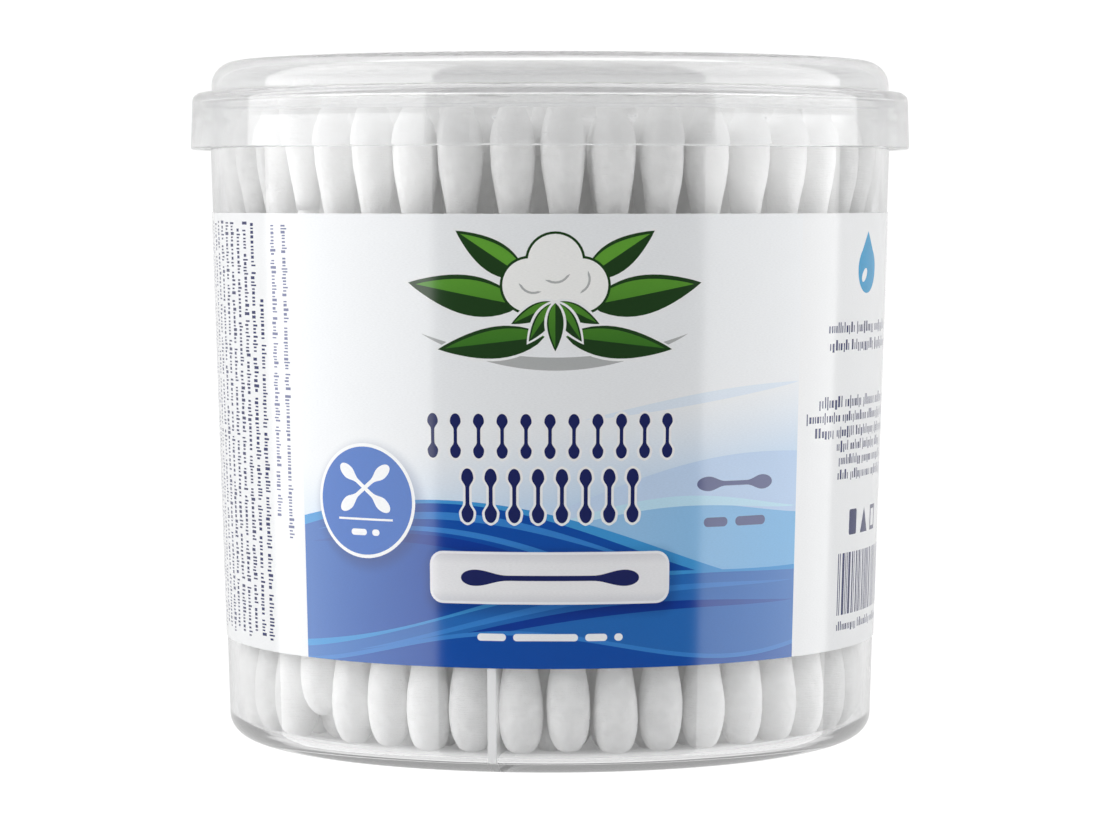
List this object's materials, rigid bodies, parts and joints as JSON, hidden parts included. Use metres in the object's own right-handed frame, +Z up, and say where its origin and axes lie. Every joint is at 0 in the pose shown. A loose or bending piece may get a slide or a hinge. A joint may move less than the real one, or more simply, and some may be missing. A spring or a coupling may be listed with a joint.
{
  "type": "cotton swab tub",
  "caption": "Round clear plastic tub of cotton swabs standing on end, with a partition, a wrap-round label and a press-on clear lid.",
  "frame": {"origin": "centre of the face that the tub stands on", "axes": "+Z up along the tub's axis, towards the lid; -Y towards the viewer, the middle of the label's printed front"},
  "size_m": [0.0896, 0.0896, 0.0838],
  "materials": {
    "clear_plastic": "clear, glossy",
    "lid_plastic": "slightly milky, glossy",
    "label_film": "glossy printed film",
    "cotton": "wound cotton fibre",
    "stick": "smooth white"
  },
  "bodies": {
    "tub": {"tub": "clear_plastic", "label": "label_film", "left_outer_row_sticks": "stick", "left_outer_row_lower_tips": "cotton", "left_outer_row_upper_tips": "cotton", "left_second_row_sticks": "stick", "left_second_row_lower_tips": "cotton", "left_second_row_upper_tips": "cotton", "left_third_row_sticks": "stick", "left_third_row_lower_tips": "cotton", "left_third_row_upper_tips": "cotton", "left_core_sticks": "stick", "left_core_lower_tips": "cotton", "left_core_upper_tips": "cotton", "right_outer_row_sticks": "stick", "right_outer_row_lower_tips": "cotton", "right_outer_row_upper_tips": "cotton", "right_second_row_sticks": "stick", "right_second_row_lower_tips": "cotton", "right_second_row_upper_tips": "cotton", "right_third_row_sticks": "stick", "right_third_row_lower_tips": "cotton", "right_third_row_upper_tips": "cotton", "right_core_sticks": "stick", "right_core_lower_tips": "cotton", "right_core_upper_tips": "cotton"},
    "lid": {"lid": "lid_plastic"}
  },
  "joints": [
    {"name": "lid_lift", "type": "slide", "parent": "tub", "child": "lid", "axis": [0, 0, 1], "range_m": [0, 0.04]}
  ]
}
